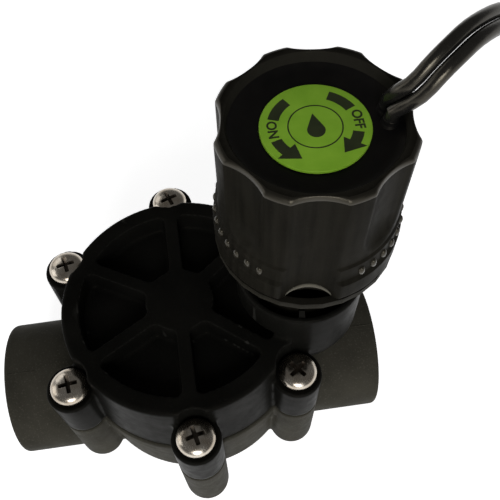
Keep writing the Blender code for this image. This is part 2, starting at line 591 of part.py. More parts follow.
    seal_low = STEM_END_Z - 0.2 * MM
    plunger_low = seal_low + 2.4 * MM
    rod("plunger", PLUNGER_R, plunger_low, PLUNGER_TOP_Z, "plated_steel", at, 24)
    rod("plunger_seal", 2.6 * MM, seal_low, plunger_low - GAP, "rubber", at, 20)
    spring("plunger_spring", 3 * MM, 0.45 * MM, PLUNGER_TOP_Z + GAP, CORE_END_Z - GAP, 4,
           "stainless_steel", at)
    foot_high, foot_low = STEM_END_Z - 2 * MM, STEM_END_Z - 3.7 * MM
    hole_r = PILOT_R - 0.1 * MM
    turned("pilot_seat", [(1.6 * MM, seal_low - GAP), (2.6 * MM, foot_high), (4.7 * MM, foot_high),
                          (4.7 * MM, foot_low), (hole_r, foot_low), (hole_r, seal_low - GAP)],
           "brass", (SOL_X, 0, 0), steps=24, ring=True)
    return axis


def lead_bases():
    """Where the two leads leave the potting, at the right of the recess."""
    return [(SOL_X + 13.9 * MM, 2.6 * MM, LEAD_BASE_Z), (SOL_X + 13.9 * MM, -0.7 * MM, LEAD_BASE_Z)]


# middle of the pair of leads in mm, from the recess over the rim and down to the standing surface
LEAD_ROUTE = [(46.6, 0.4, 131.6), (48.3, -0.2, 133.6), (49.9, 0, 135.3), (52.1, 0.8, 138),
              (55.2, 2.5, 140), (58.8, 5.1, 140.6), (63.2, 8.3, 139.6), (68, 11.8, 137),
              (74, 16, 131.5), (85.5, 22, 118), (95, 25.5, 98), (103, 27, 74), (109.5, 26.5, 50),
              (115, 25.8, 28), (120, 25.2, 11)]
PAIR_HIGH = Vector((0.53, -0.75, -0.39))    # from the middle to the front lead, over the valve
PAIR_LOW = Vector((-0.2, -0.98, 0))         # the same, near the standing surface


def lead_routes():
    """Routes of the two leads, side by side, each ending just short of the coil's outside."""
    middle = [Vector(stop) * MM for stop in LEAD_ROUTE]
    ends = []
    for side in (-1, 1):
        x, y = polar(COIL_MID_R + COIL_W / 2 + 1.8 * MM, 215 + 5.4 * side)
        ends.append(Vector((COIL_CENTRE[0] + x, COIL_CENTRE[1] + y, 1.9 * MM)))
    middle.append((ends[0] + ends[1]) / 2 + Vector((-9 * MM, 1.4 * MM, 1.6 * MM)))
    routes = []
    for side, base, end in zip((-1, 1), lead_bases(), ends):
        start = Vector(base)
        stops = [start + Vector((0, 0, 1.2 * MM))]
        for i, stop in enumerate(middle):
            before = middle[i - 1] if i else start
            after = middle[i + 1] if i + 1 < len(middle) else end
            along = (after - before).normalized()
            apart = PAIR_HIGH.lerp(PAIR_LOW, i / (len(middle) - 1))
            apart = (apart - along * apart.dot(along)).normalized()
            spread = 1.66 * MM + (0.4 * MM if i == len(middle) - 1 else 0)
            stops.append(stop + apart * side * spread)
        stops.append(end)
        routes.append([start, *smooth_route(stops, 4 * LEAD_R)])
    return routes


def build_leads():
    """Two insulated leads and the ring that their spare length is coiled into."""
    for name, route in zip("ab", lead_routes()):
        wire(f"lead_wire_{name}", route, LEAD_R, "pvc_black")
    tube_ring("lead_coil", COIL_MID_R + COIL_W / 2, COIL_MID_R - COIL_W / 2, 0.02 * MM,
              COIL_H, "pvc_black", COIL_CENTRE, 32)


build_body()
build_ports()
build_bonnet()
build_screws()
build_diaphragm()
solenoid_axis = build_solenoid()
build_leads()

TURNING = ("solenoid_shell", "solenoid_cap", "dial_label", "lead_bush_a", "lead_bush_b", "magnet_yoke",
           "coil_bobbin", "coil_winding", "core_tube", "fixed_core", "solenoid_base", "stem_o_ring",
           "plunger", "plunger_seal", "plunger_spring")
for piece in TURNING:
    thing = bpy.data.objects[piece]
    thing.parent = solenoid_axis
    thing.matrix_parent_inverse = Matrix.Translation((-SOL_X, 0, 0))
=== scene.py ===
"""Visual model of a plastic in-line solenoid valve with a ribbed six-screw bonnet and a fluted
solenoid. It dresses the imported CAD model: every piece rides on one of its bodies."""
import json
import math

import bmesh
import bpy
from mathutils import Matrix, Vector


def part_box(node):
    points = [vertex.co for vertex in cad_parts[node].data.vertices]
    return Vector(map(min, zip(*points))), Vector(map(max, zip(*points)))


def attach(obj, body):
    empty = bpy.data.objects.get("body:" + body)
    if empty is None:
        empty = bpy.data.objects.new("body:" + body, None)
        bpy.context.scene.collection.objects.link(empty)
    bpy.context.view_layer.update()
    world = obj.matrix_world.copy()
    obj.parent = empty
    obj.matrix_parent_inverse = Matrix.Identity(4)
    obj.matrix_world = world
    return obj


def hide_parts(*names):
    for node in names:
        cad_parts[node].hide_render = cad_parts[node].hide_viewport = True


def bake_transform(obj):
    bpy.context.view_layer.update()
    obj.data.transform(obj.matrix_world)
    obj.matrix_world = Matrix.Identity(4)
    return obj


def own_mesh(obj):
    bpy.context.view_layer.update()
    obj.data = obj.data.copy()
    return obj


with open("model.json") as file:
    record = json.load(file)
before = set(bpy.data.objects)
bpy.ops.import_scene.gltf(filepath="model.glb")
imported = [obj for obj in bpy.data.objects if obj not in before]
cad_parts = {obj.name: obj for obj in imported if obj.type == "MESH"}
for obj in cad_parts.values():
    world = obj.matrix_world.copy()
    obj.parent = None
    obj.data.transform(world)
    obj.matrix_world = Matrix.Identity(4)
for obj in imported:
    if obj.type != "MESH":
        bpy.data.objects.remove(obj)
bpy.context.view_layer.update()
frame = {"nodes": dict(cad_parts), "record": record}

MM = 0.001
scene = bpy.context.scene


def corners(node):
    """Lowest corner, highest corner and middle of a CAD node."""
    low, high = (Vector(c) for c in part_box(node))
    return low, high, (low + high) / 2


# ---------------------------------------------------------------- dimensions
BONNET_LOW, BONNET_HIGH, _ = corners("bonnet")
SHELL_LOW, SHELL_HIGH, SHELL_MID = corners("solenoid_shell")
SCREWS = [corners(f"cover_screw_{i}") for i in range(1, 7)]
HALF_LENGTH = corners("outlet_port")[1].x
PARTING_Z = corners("valve_body")[1].z
AXIS_Z = 21 * MM                    # height of the ports' axis
PORT_R = 20 * MM
FLANGE_R = 32.9 * MM
BORE_R = 9.5 * MM
SEAT_WALL = 2.4 * MM                # wall round the main seat
SEAT_TOP_Z = AXIS_Z + 17.5 * MM
INLET_R = 26.6 * MM                 # chamber under the diaphragm
CHAMBER_R = 25.4 * MM               # pressure chamber over it
CHAMBER_TOP_Z = AXIS_Z + 37.6 * MM
COLUMN_R = 12 * MM                  # column in that chamber, which holds the solenoid's stem
RISER_R = 5.4 * MM                  # hole from the inlet up into the chamber
RISER_X = -20.3 * MM
THREAD_MAJOR_R = 16.6 * MM          # G 1 female thread
THREAD_MINOR_R = 15.15 * MM
THREAD_PITCH = 2.309 * MM
THREAD_END = 1.2 * MM               # plain length at the mouth of each socket
SOCKET_DEPTH = 17.5 * MM
LUG_R = 6.4 * MM
LUG_END_Z = AXIS_Z - 2 * MM
SCREW_HEAD_R = (SCREWS[0][1].x - SCREWS[0][0].x) / 2
SCREW_SEAT_Z = AXIS_Z + 39 * MM
SCREW_TURNS = (5, 20, 12, 8, 14, 38)     # how far each screw's recess is turned
RING_TOP_Z = AXIS_Z + 46.2 * MM
RING_R = 31.2 * MM                  # a little over the CAD's, because the softened edge draws in
POCKET_R = 26.5 * MM
POCKET_DEPTH = 6 * MM
HUB_R = 8.9 * MM
RIB_W = 3.4 * MM
CUP_TOP_Z = BONNET_HIGH.z
CUP_R = 16.2 * MM
CUP_FLOOR_Z = CUP_TOP_Z - 10 * MM
SOL_X = SHELL_MID.x
SHELL_R = 19.2 * MM
SHELL_BORE_R = 16.4 * MM
RIM_R = 16.8 * MM                   # inner edge of the shell's rim
RIM_BEAD = 1.1 * MM                 # radius of the rim's round edge
BAND_OUT = 0.45 * MM                # how far the band of bumps stands out from the shell
BAND_LOW = SHELL_LOW.z + 7 * MM
BAND_HIGH = SHELL_LOW.z + 9.6 * MM
BUMP_R = 0.78 * MM
BUMP_STEP = 9                       # degrees between two bumps
BUMP_GAP = 27                       # degrees on each side of the front that have none
ARCH_R = 5 * MM                     # half width of the arched notch under the front flute
ARCH_H = 3.4 * MM
FLUTES = 8
FLUTE_TURN = math.radians(-8.7)
FLUTE_DEPTH = 1.7 * MM
FLUTE_HALF_ANGLE = math.radians(15)
FLUTE_FOOT_Z = SHELL_LOW.z + 12.9 * MM
FLUTE_RUN_OUT = 6 * MM              # height over which a flute's foot fades away
FRONT = FLUTE_TURN + math.tau * (FLUTES - 2) / FLUTES       # the flute that runs down to the notch
LEAD_R = 1.4 * MM
STRAND_R = 0.21 * MM
BUSH_R = 1.5 * MM                   # resin raised round each lead
LABEL_LINE = 0.03 * MM              # thickness of the label's print
COIL_CENTRE = Vector((152 * MM, 36 * MM, 0))
COIL_RADII = (14.5 * MM, 17.5 * MM)
COIL_TURNS = (2.15, 1.8)
COIL_START = 247                    # degrees
COIL_LOW = 1.9 * MM                 # height of the first turn's middle
COIL_RISE = 3.15 * MM               # rise of each turn


# ---------------------------------------------------------------- mesh tools
def add(name, mesh, material, body=None, smooth=40):
    """Link a mesh as an object, which rides on a body if one is named."""
    mesh.materials.append(material)
    mesh.shade_smooth()
    mesh.set_sharp_from_angle(angle=math.radians(smooth))
    thing = bpy.data.objects.new(name, mesh)
    scene.collection.objects.link(thing)
    if body:
        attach(thing, body)
    return thing


def new_mesh(name, points, faces):
    mesh = bpy.data.meshes.new(name)
    mesh.from_pydata([tuple(p) for p in points], [], faces)
    bm = bmesh.new()
    bm.from_mesh(mesh)
    bmesh.ops.recalc_face_normals(bm, faces=bm.faces)
    bm.to_mesh(mesh)
    bm.free()
    return mesh


def lathe(profile, steps=64, at=(0, 0), ring=False, matrix=None):
    """Points and faces of a profile of (r, z) points turned about a vertical line."""
    points, rings = [], []
    for r, z in profile:
        if r < 1e-7:
            rings.append([len(points)] * steps)
            points.append(Vector((*at, z)))
        else:
            rings.append([len(points) + i for i in range(steps)])
            for i in range(steps):
                angle = math.tau * i / steps
                points.append(Vector((at[0] + r * math.cos(angle), at[1] + r * math.sin(angle), z)))
    if ring:
        rings.append(rings[0])
    if matrix:
        points = [matrix @ p for p in points]
    faces = []
    for low, high in zip(rings, rings[1:]):
        for i in range(steps):
            j = (i + 1) % steps
            face = list(dict.fromkeys((low[i], low[j], high[j], high[i])))
            if len(face) > 2:
                faces.append(face)
    return points, faces


def fillet(outline, closed=False, steps=4):
    """Outline of (x, y) points in which a third number rounds that corner to its radius."""
    result = []
    for i, corner in enumerate(outline):
        here = Vector(corner[:2])
        end = not closed and i in (0, len(outline) - 1)
        if len(corner) < 3 or end:
            result.append(tuple(here))
            continue
        before = (Vector(outline[i - 1][:2]) - here).normalized()
        after = (Vector(outline[(i + 1) % len(outline)][:2]) - here).normalized()
        half = before.angle(after) / 2
        reach = corner[2] / math.tan(half)
        middle = here + (before + after).normalized() * corner[2] / math.sin(half)
        start = here + before * reach - middle
        turn = start.angle_signed(here + after * reach - middle)
        for k in range(steps + 1):
            swing = Matrix.Rotation(-turn * k / steps, 2)
            result.append(tuple(middle + swing @ start))
    return result


def prism(outline, low, high, draft=0):
    """Points and faces of an upright prism, whose foot is drawn in by draft."""
    count = len(outline)
    middle = Vector((sum(x for x, _ in outline) / count, sum(y for _, y in outline) / count))
    points = []
    for z, inset in ((low, draft), (high, 0)):
        for x, y in outline:
            out = Vector((x, y)) - middle
            out -= out.normalized() * inset
            points.append(Vector((*(middle + out), z)))
    faces = [list(range(count)), list(range(count, 2 * count))]
    for i in range(count):
        j = (i + 1) % count
        faces.append([i, j, count + j, count + i])
    return points, faces


def merged(parts):
    """Points and faces of several parts in one mesh."""
    points, faces = [], []
    for part_points, part_faces in parts:
        faces += [[i + len(points) for i in face] for face in part_faces]
        points += part_points
    return points, faces


def helper(name, mesh):
    """An object that only helps to make a piece."""
    thing = bpy.data.objects.new(name, mesh)
    scene.collection.objects.link(thing)
    return thing


def subtract(thing, tool, solver):
    cut = thing.modifiers.new("cut", "BOOLEAN")
    cut.operation = "DIFFERENCE"
    cut.solver = solver
    cut.object = tool
    return cut


def baked(thing, *tools):
    """The mesh of a helper with its modifiers applied. It and its tools are removed."""
    bpy.context.view_layer.update()
    graph = bpy.context.evaluated_depsgraph_get()
    mesh = bpy.data.meshes.new_from_object(thing.evaluated_get(graph))
    mesh.transform(thing.matrix_world)
    for old in (thing, *tools):
        bpy.data.objects.remove(old, do_unlink=True)
    return mesh


def casting(name, solids, cutters, material, voxel=0.42 * MM, keep=0.35):
    """One moulding: the solids fused, the cutters taken out, and every edge softened."""
    rough = helper(name, new_mesh(name, *merged(solids)))

    def remesh(label):
        fuse = rough.modifiers.new(label, "REMESH")
        fuse.mode = "VOXEL"
        fuse.voxel_size = voxel

    remesh("fuse")
    tools = [helper("tool", new_mesh("tool", *cutter)) for cutter in cutters]
    for tool in tools:
        subtract(rough, tool, "MANIFOLD")
    remesh("soften")
    relax = rough.modifiers.new("relax", "SMOOTH")
    relax.factor = 0.5
    relax.iterations = 4
    thin = rough.modifiers.new("thin", "DECIMATE")
    thin.ratio = keep
    mesh = baked(rough, *tools)
    mesh.name = name
    mesh.materials.clear()
    return add(name, mesh, material, "valve", smooth=180)


def skin(rows, sides, closed=False):
    """Faces between rows of points, each row a loop of sides points."""
    faces = []
    for row in range(rows if closed else rows - 1):
        here, following = row * sides, (row + 1) % rows * sides
        for i in range(sides):
            j = (i + 1) % sides
            faces.append([here + i, here + j, following + j, following + i])
    return faces


def tube(name, path, radius, material, sides=16, body=None):
    """Round tube along a path, without twist."""
    points = []
    ahead = (path[1] - path[0]).normalized()
    side = ahead.orthogonal().normalized()
    for i, place in enumerate(path):
        after = path[min(i + 1, len(path) - 1)] - path[max(i - 1, 0)]
        after.normalize()
        side = (side - after * side.dot(after)).normalized()
        across = after.cross(side)
        for k in range(sides):
            angle = math.tau * k / sides
            points.append(place + radius * (side * math.cos(angle) + across * math.sin(angle)))
    faces = skin(len(path), sides)
    faces.append(list(range(sides)))
    faces.append([(len(path) - 1) * sides + k for k in range(sides)])
    return add(name, new_mesh(name, points, faces), material, body)


def smooth_route(stops, step):
    """Evenly spaced points on a Catmull-Rom curve through the stops."""
    padded = [2 * stops[0] - stops[1], *stops, 2 * stops[-1] - stops[-2]]
    fine = []
    for a, b, c, d in zip(padded, padded[1:], padded[2:], padded[3:]):
        for i in range(24):
            t = i / 24
            fine.append(0.5 * (2 * b + (c - a) * t + (2 * a - 5 * b + 4 * c - d) * t * t
                               + (3 * b - a - 3 * c + d) * t * t * t))
    fine.append(stops[-1])
    total = sum((b - a).length for a, b in zip(fine, fine[1:]))
    count = round(total / step)
    points, walked = [fine[0]], 0
    for a, b in zip(fine, fine[1:]):
        walked += (b - a).length
        if walked >= total * len(points) / count and len(points) < count:
            points.append(b)
    points.append(fine[-1])
    return points


def polar(radius, angle):
    return Vector((radius * math.cos(angle), radius * math.sin(angle)))


# ---------------------------------------------------------------- materials
WARM = (1, 0.9, 0.7, 1)             # tint of the plastics' sheen


class Shader:
    """A Principled material under construction, in the object's own coordinates."""

    def __init__(self, name, **inputs):
        self.material = bpy.data.materials.new(name)
        self.material.use_nodes = True
        self.tree = self.material.node_tree
        self.principled = self.tree.nodes["Principled BSDF"]
        for key, value in inputs.items():
            self.principled.inputs[key.replace("_", " ")].default_value = value
        self.where = self.tree.nodes.new("ShaderNodeTexCoord").outputs["Object"]

    def node(self, kind, links=None, **settings):
        node = self.tree.nodes.new(kind)
        for key, value in settings.items():
            setattr(node, key, value)
        for key, value in (links or {}).items():
            if isinstance(value, bpy.types.NodeSocket):
                self.tree.links.new(value, node.inputs[key])
            else:
                node.inputs[key].default_value = value
        return node

    def noise(self, size, detail=3, stretch=(1, 1, 1)):
        """Noise from 0 to 1 whose features are about size across."""
        place = self.node("ShaderNodeMapping", {"Vector": self.where, "Scale": stretch})
        return self.node("ShaderNodeTexNoise", {"Vector": place.outputs[0], "Scale": 1 / size,
                                                "Detail": detail}).outputs["Fac"]

    def spread(self, value, low, high, start=0.3, end=0.7):
        """The value's middle range, start to end, mapped to low to high."""
        return self.node("ShaderNodeMapRange", {"Value": value, "From Min": start, "From Max": end,
                                                "To Min": low, "To Max": high}).outputs["Result"]

    def blend(self, value, dark, light):
        """A colour between dark and light."""
        mix = self.node("ShaderNodeMix", data_type="RGBA")
        self.tree.links.new(value, mix.inputs[0])
        for socket, colour in ((6, dark), (7, light)):
            if isinstance(colour, bpy.types.NodeSocket):
                self.tree.links.new(colour, mix.inputs[socket])
            else:
                mix.inputs[socket].default_value = (*colour, 1)
        return mix.outputs[2]

    def bump(self, height, depth, strength=1.0):
        """Raise the surface by up to depth where the height is 1."""
        links = {"Height": height, "Distance": depth, "Strength": strength}
        before = self.principled.inputs["Normal"]
        if before.is_linked:
            links["Normal"] = before.links[0].from_socket
        self.put("Normal", self.node("ShaderNodeBump", links).outputs["Normal"])

    def put(self, key, socket):
        self.tree.links.new(socket, self.principled.inputs[key])


def moulded(name, dark, light, rough, gloss=0.2, grain=0.35 * MM, depth=0.02 * MM, streaks=0.0,
            dust=None, wear_and_highlight=None):
    """Moulded plastic: cloudy colour, fine grain, faint flow streaks, a little dust, and convex edges
    lightened as wear and painted highlight.
    """
    shader = Shader(name, Specular_IOR_Level=gloss, Specular_Tint=WARM)
    cloud = shader.spread(shader.noise(14 * MM, 4), 0, 1)
    colour = shader.blend(cloud, dark, light)
    speck = shader.spread(shader.noise(0.5 * MM, 2), 0, 0.35, 0.58, 0.75)
    colour = shader.blend(speck, colour, dust or light)
    if streaks:
        flow = shader.spread(shader.noise(1.4 * MM, 3, (1, 1, 0.06)), 0, streaks)
        colour = shader.blend(flow, colour, [min(1, 1.9 * c) for c in light])
    if wear_and_highlight:
        # convex edges are lightened: partly wear, partly a painted highlight along each edge
        edge = shader.node("ShaderNodeNewGeometry").outputs["Pointiness"]
        colour = shader.blend(shader.spread(edge, 0, 1, 0.53, 0.59), colour, wear_and_highlight)
    shader.put("Base Color", colour)
    shader.put("Roughness", shader.spread(shader.noise(3 * MM, 4), rough - 0.06, rough + 0.07))
    shader.bump(shader.noise(grain, 3), depth)
    shader.bump(shader.noise(5 * MM, 2), 0.04 * MM, 0.5)
    return shader.material


def metal(name, colour, tint, rough, turned=0.0):
    """Metal with fine scratches and slight staining."""
    shader = Shader(name, Metallic=1.0)
    stain = shader.spread(shader.noise(3 * MM, 4), 0, 1, 0.4, 0.75)
    shader.put("Base Color", shader.blend(stain, colour, tint))
    scratch = shader.noise(0.18 * MM, 4, (1, 0.15, 1))
    shader.put("Roughness", shader.spread(scratch, rough - 0.05, rough + 0.1))
    shader.bump(scratch, 0.0014 * MM)
    if turned:
        shader.bump(shader.noise(0.25 * MM, 2, (0.1, 0.1, 1)), turned)
    return shader.material


def rubber(name, dark, light):
    shader = Shader(name, Specular_IOR_Level=0.3)
    shader.put("Base Color", shader.blend(shader.noise(2 * MM, 4), dark, light))
    shader.put("Roughness", shader.spread(shader.noise(1 * MM), 0.6, 0.8))
    shader.bump(shader.noise(0.3 * MM), 0.03 * MM)
    return shader.material


def glossy(name, dark, light, rough, wave=1.6 * MM, depth=0.03 * MM, gloss=0.45):
    """Smooth extruded or cast plastic with a soft uneven gloss."""
    shader = Shader(name, Specular_IOR_Level=gloss, Specular_Tint=WARM)
    shader.put("Base Color", shader.blend(shader.spread(shader.noise(4 * MM, 4), 0, 1), dark, light))
    shader.put("Roughness", shader.spread(shader.noise(0.8 * MM, 4), rough - 0.05, rough + 0.08))
    shader.bump(shader.noise(wave, 2), depth)
    return shader.material


MATERIALS = {
    "body_nylon": moulded("body_nylon", (0.025, 0.0235, 0.0183), (0.041, 0.0385, 0.0302), 0.5, 0.012,
                          depth=0.035 * MM, dust=(0.10, 0.094, 0.074)),
    # edges lightened as wear and painted highlight
    "bonnet_nylon": moulded("bonnet_nylon", (0.0035, 0.0034, 0.0029), (0.0065, 0.0063, 0.0054), 0.34,
                            0.01, depth=0.012 * MM, dust=(0.012, 0.0117, 0.010),
                            wear_and_highlight=(0.018, 0.0175, 0.0155)),
    # edges lightened as wear and painted highlight
    "solenoid_nylon": moulded("solenoid_nylon", (0.0048, 0.0044, 0.0034), (0.0085, 0.0078, 0.006),
                              0.38, 0.008, depth=0.018 * MM, streaks=0.45, dust=(0.016, 0.015, 0.011),
                              wear_and_highlight=(0.02, 0.0187, 0.015)),
    "potting_resin": glossy("potting_resin", (0.0025, 0.0025, 0.003), (0.005, 0.0047, 0.0047), 0.38,
                            5 * MM, 0.1 * MM, 0.16),
    "stainless_steel": metal("stainless_steel", (0.54, 0.49, 0.42), (0.36, 0.30, 0.23), 0.2),
    "plated_steel": metal("plated_steel", (0.60, 0.60, 0.58), (0.5, 0.47, 0.4), 0.35, 0.02 * MM),
    "copper_wire": metal("copper_wire", (0.72, 0.34, 0.17), (0.5, 0.2, 0.1), 0.3, 0.1 * MM),
    "brass": metal("brass", (0.75, 0.58, 0.28), (0.55, 0.40, 0.2), 0.25, 0.02 * MM),
    "rubber": rubber("rubber", (0.012, 0.012, 0.012), (0.03, 0.03, 0.03)),
    "label_green": glossy("label_green", (0.205, 0.42, 0.025), (0.25, 0.48, 0.035), 0.45, 0.4 * MM,
                          0.01 * MM, 0.3),
    "pvc_black": glossy("pvc_black", (0.005, 0.005, 0.005), (0.010, 0.0095, 0.009), 0.22,
                        6 * MM, 0.04 * MM),
    "bobbin_nylon": moulded("bobbin_nylon", (0.55, 0.52, 0.44), (0.66, 0.63, 0.55), 0.5),
}
PRINT = glossy("label_print", (0.012, 0.020, 0.006), (0.022, 0.032, 0.010), 0.5, 0.3 * MM, 0.01 * MM)
# dark steel in the screws' cross recesses: painted shade
RECESS_SHADE = metal("screw_recess_shade", (0.06, 0.05, 0.04), (0.16, 0.13, 0.10), 0.5)
# paler nylon for the notch's raised edge: wear together with a painted highlight
WORN_AND_HIGHLIT = moulded("worn_highlit_edge", (0.05, 0.047, 0.037), (0.13, 0.122, 0.098), 0.4, 0.2)
HANDLED = moulded("handled_nylon", (0.0055, 0.005, 0.0038), (0.0095, 0.0088, 0.0068), 0.36, 0.4)
# glossier nylon for the grip bumps; its lighter colour is a painted highlight
POLISHED_HIGHLIT = moulded("polished_highlit_nylon", (0.012, 0.0105, 0.0075), (0.022, 0.020, 0.015), 0.24, 0.3)


# ---------------------------------------------------------------- camera and leads
def place_camera():
    data = bpy.data.cameras.new("camera")
    data.sensor_width = 36
    data.lens = 48.16
    data.shift_x, data.shift_y = 0.0463, 0.0592
    data.clip_start = 0.005
    camera = bpy.data.objects.new("camera", data)
    scene.collection.objects.link(camera)
    ahead = Vector((0.0265, 0.4783, -0.8778))
    roll = Matrix.Rotation(math.radians(-5), 4, "Z")
    turn = ahead.to_track_quat("-Z", "Y").to_matrix().to_4x4() @ roll
    camera.matrix_world = Matrix.Translation((8.4 * MM, -80.8 * MM, 222.65 * MM)) @ turn
    scene.camera = camera


# middle of the pair of leads in mm, from the cap over the rim and down to the standing surface
LEAD_ROUTE = [(46.6, 0.4, 131.6), (48.3, -0.2, 133.6), (49.9, 0, 135.3), (52.1, 0.8, 137.9),
              (55.2, 2.5, 139.7), (58.8, 5.1, 140.25), (63.2, 8.3, 139.3), (68, 11.8, 137),
              (74, 16, 131.5), (85.5, 22, 118), (95, 25.5, 98), (103, 27, 74), (109.5, 26.5, 50),
              (115, 25.8, 28), (120, 25.2, 11)]
PAIR_HIGH = Vector((0.53, -0.75, -0.39))    # from the middle to the front lead, over the valve
PAIR_LOW = Vector((-0.2, -0.98, 0))         # the same, near the standing surface


def lead_path(side, base):
    """One lead's centreline, from the cap to its end in the coil."""
    middle = [Vector(stop) * MM for stop in LEAD_ROUTE]
    ends = []
    for k in (-1, 1):
        out = polar(21.4 * MM, math.radians(215 + 5.4 * k))
        ends.append(Vector((COIL_CENTRE.x + out.x, COIL_CENTRE.y + out.y, COIL_LOW)))
    middle.append((ends[0] + ends[1]) / 2 + Vector((-9 * MM, 1.4 * MM, 1.6 * MM)))
    end = ends[side > 0]
    stops = [base + Vector((0, 0, 1.2 * MM))]
    for i, stop in enumerate(middle):
        before = middle[i - 1] if i else base
        after = middle[i + 1] if i + 1 < len(middle) else end
        along = (after - before).normalized()
        apart = PAIR_HIGH.lerp(PAIR_LOW, i / (len(middle) - 1))
        apart = (apart - along * apart.dot(along)).normalized()
        spread = 1.43 * MM + (0.4 * MM if i == len(middle) - 1 else 0)
        stops.append(stop + apart * side * spread)
    stops += [end, end + Vector((3.8 * MM, -0.45 * MM, 0))]
    radius, turns = COIL_RADII[side > 0], COIL_TURNS[side > 0]
    for degrees in range(COIL_START, round(COIL_START + 360 * turns), 15):
        out = polar(radius, math.radians(degrees))
        rise = COIL_LOW + COIL_RISE * (degrees - COIL_START) / 360
        stops.append(COIL_CENTRE + Vector((out.x, out.y, rise)))
    return [base, *smooth_route(stops, 2 * MM)]


def build_tie():
    """Nylon tie that holds the coil, round both leads' turns."""
    angle = math.radians(300)
    half_width, thickness, corner = 1.2 * MM, 0.45 * MM, 1.4 * MM
    inner, outer, low, high = 12.3 * MM, 19.7 * MM, 0.45 * MM, 7.6 * MM
    loop = fillet([(inner, low, corner), (outer, low, corner), (outer, high, corner),
                   (inner, high, corner)], closed=True, steps=5)
    out, along = polar(1, angle), polar(1, angle + math.pi / 2)
    centre = Vector(((inner + outer) / 2, (low + high) / 2))
    points = []
    for width, thick in ((-half_width, 0), (-half_width, thickness), (half_width, thickness),
                         (half_width, 0)):
        for r, z in loop:
            inward = (centre - Vector((r, z))).normalized() * thick
            flat = out * (r + inward.x) + along * width
            points.append(COIL_CENTRE + Vector((flat.x, flat.y, z + inward.y)))
    mesh = new_mesh("coil_tie", points, skin(4, len(loop), closed=True))
    return add("coil_tie", mesh, MATERIALS["bobbin_nylon"], "valve")


def build_leads():
    tie = build_tie()
    for name, side in (("a", -1), ("b", 1)):
        _, top, middle = corners(f"lead_bush_{name}")
        base = Vector((middle.x, middle.y, top.z + 0.3 * MM))
        path = lead_path(side, base)
        lead = tube(f"lead_{name}", path, LEAD_R, MATERIALS["pvc_black"])
        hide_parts(f"lead_wire_{name}", *(["lead_coil"] if name == "a" else []))
        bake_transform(lead)
        stub = stranded(f"bare_end_{name}", path[-1], (path[-1] - path[-2]).normalized())


def stranded(name, end, along):
    """Bare end of a lead, seven straight copper strands that start inside the insulation."""
    length, chamfer = 9 * MM, 0.1 * MM
    profile = [(0, length), (0.15 * MM, length), (STRAND_R, length - chamfer), (STRAND_R, 0), (0, 0)]
    turn = along.to_track_quat("Z", "Y").to_matrix().to_4x4()
    side = along.orthogonal().normalized()
    across = along.cross(side)
    parts = []
    for k in range(7):
        off = polar(2 * STRAND_R, math.tau * k / 6) if k else Vector((0, 0))
        start = end + side * off.x + across * off.y - along * MM
        parts.append(lathe(profile, 8, matrix=Matrix.Translation(start) @ turn))
    return add(name, new_mesh(name, *merged(parts)), MATERIALS["copper_wire"], "valve")


# ---------------------------------------------------------------- body
def build_body():
    base = AXIS_Z
    foot_r = 15 * MM
    bowl = fillet([(0, PARTING_Z), (FLANGE_R, PARTING_Z, 0.5 * MM),
                   (FLANGE_R, base + 16.6 * MM, 0.5 * MM),
                   (31.9 * MM, base + 15.6 * MM, 0.6 * MM), (31.2 * MM, base - 8 * MM, 9.5 * MM),
                   (foot_r + 1 * MM, base - 15.5 * MM, 3 * MM), (foot_r, 0, 0.5 * MM), (0, 0)], steps=8)
    solids = [lathe(bowl, 160)]
    edge = 1.2 * MM
    lying = Matrix.Translation((0, 0, base)) @ Matrix.Rotation(math.pi / 2, 4, "Y")
    port = fillet([(0, HALF_LENGTH), (PORT_R, HALF_LENGTH, edge), (PORT_R, -HALF_LENGTH, edge),
                   (0, -HALF_LENGTH)], steps=6)
    solids.append(lathe(port, 128, matrix=lying))
    for _, _, middle in SCREWS:
        lug = fillet([(0, PARTING_Z - 0.25 * MM), (LUG_R, PARTING_Z - 0.25 * MM, 0.4 * MM),
                      (LUG_R, LUG_END_Z - LUG_R, LUG_R * 0.98), (0, LUG_END_Z - LUG_R)], steps=10)
        solids.append(lathe(lug, 48, (middle.x, middle.y)))
    gusset = fillet([(24 * MM, -15 * MM, 3 * MM), (33 * MM, -15 * MM, 3 * MM), (33 * MM, 15 * MM, 3 * MM),
                     (24 * MM, 15 * MM, 3 * MM)], closed=True)
    solids.append(prism(gusset, PARTING_Z - 14 * MM, PARTING_Z - 0.3 * MM))
    cutters = []
    for side, bore_end in ((-1, 16.5 * MM), (1, 2 * MM)):
        turn = Matrix.Translation((0, 0, base)) @ Matrix.Rotation(side * math.pi / 2, 4, "Y")
        shoulder = HALF_LENGTH - SOCKET_DEPTH
        socket = [(0, HALF_LENGTH + MM), (THREAD_MAJOR_R + 1.5 * MM, HALF_LENGTH + MM),
                  (THREAD_MAJOR_R + 0.1 * MM, HALF_LENGTH - 0.6 * MM), (THREAD_MAJOR_R + 0.1 * MM, shoulder),
                  (BORE_R, shoulder), (BORE_R, bore_end), (0, bore_end)]
        cutters.append(lathe(socket, 96, matrix=turn))
    # chamber under the diaphragm, with the main seat standing in it
    floor = base + BORE_R + 2.6 * MM
    seat_r = BORE_R + SEAT_WALL
    chamber = [(0, PARTING_Z + MM), (INLET_R, PARTING_Z + MM), (INLET_R, floor + 1.5 * MM),
               (INLET_R - 1.5 * MM, floor), (seat_r, floor), (seat_r, SEAT_TOP_Z), (BORE_R, SEAT_TOP_Z),
               (BORE_R, base - 4 * MM), (0, base - 4 * MM)]
    riser = [(0, floor + 2 * MM), (RISER_R, floor + 2 * MM), (RISER_R, base), (0, base)]
    cutters += [lathe(chamber, 96), lathe(riser, 32, (RISER_X, 0))]
    body = casting("body_moulding", solids, cutters, MATERIALS["body_nylon"])
    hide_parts("valve_body", "inlet_port", "outlet_port")


